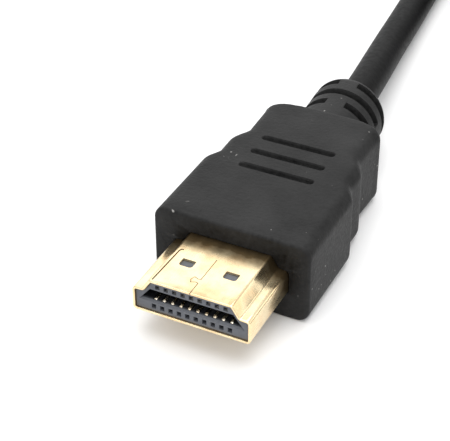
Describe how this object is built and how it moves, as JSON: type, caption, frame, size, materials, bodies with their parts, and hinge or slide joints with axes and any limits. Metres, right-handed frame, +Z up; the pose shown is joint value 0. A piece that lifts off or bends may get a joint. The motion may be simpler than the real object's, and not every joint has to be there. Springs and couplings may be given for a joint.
{
  "type": "hdmi cable",
  "caption": "Thin round video cable with a moulded gold-plated plug and ribbed strain relief at each end, its spare length wound in a tied coil.",
  "frame": {"origin": "bottom centre of the near plug, on the surface it lies on", "axes": "+Z up, +X across the plug's width, +Y along the plug from its mating face to its cable"},
  "size_m": [0.0628, 0.1499, 0.0101],
  "materials": {
    "gold_plating": "bright gold plate",
    "contact_gold": "bright gold plate",
    "contact_plastic": "moulded, satin",
    "moulded_grip": "soft moulded plastic with a fine grain",
    "cable_jacket": "extruded, satin",
    "tie_strap": "woven hook-and-loop"
  },
  "bodies": {
    "root": {"near_shell": "gold_plating", "near_contact_carrier": "contact_plastic", "near_lower_contact_01": "contact_gold", "near_lower_contact_02": "contact_gold", "near_lower_contact_03": "contact_gold", "near_lower_contact_04": "contact_gold", "near_lower_contact_05": "contact_gold", "near_lower_contact_06": "contact_gold", "near_lower_contact_07": "contact_gold", "near_lower_contact_08": "contact_gold", "near_lower_contact_09": "contact_gold", "near_lower_contact_10": "contact_gold", "near_upper_contact_01": "contact_gold", "near_upper_contact_02": "contact_gold", "near_upper_contact_03": "contact_gold", "near_upper_contact_04": "contact_gold", "near_upper_contact_05": "contact_gold", "near_upper_contact_06": "contact_gold", "near_upper_contact_07": "contact_gold", "near_upper_contact_08": "contact_gold", "near_upper_contact_09": "contact_gold", "near_overmould": "moulded_grip", "far_shell": "gold_plating", "far_contact_carrier": "contact_plastic", "far_lower_contact_01": "contact_gold", "far_lower_contact_02": "contact_gold", "far_lower_contact_03": "contact_gold", "far_lower_contact_04": "contact_gold", "far_lower_contact_05": "contact_gold", "far_lower_contact_06": "contact_gold", "far_lower_contact_07": "contact_gold", "far_lower_contact_08": "contact_gold", "far_lower_contact_09": "contact_gold", "far_lower_contact_10": "contact_gold", "far_upper_contact_01": "contact_gold", "far_upper_contact_02": "contact_gold", "far_upper_contact_03": "contact_gold", "far_upper_contact_04": "contact_gold", "far_upper_contact_05": "contact_gold", "far_upper_contact_06": "contact_gold", "far_upper_contact_07": "contact_gold", "far_upper_contact_08": "contact_gold", "far_upper_contact_09": "contact_gold", "far_overmould": "moulded_grip", "cable_lead": "cable_jacket", "cable_coil": "cable_jacket", "cable_tail": "cable_jacket", "cable_tie": "tie_strap"}
  },
  "joints": []
}
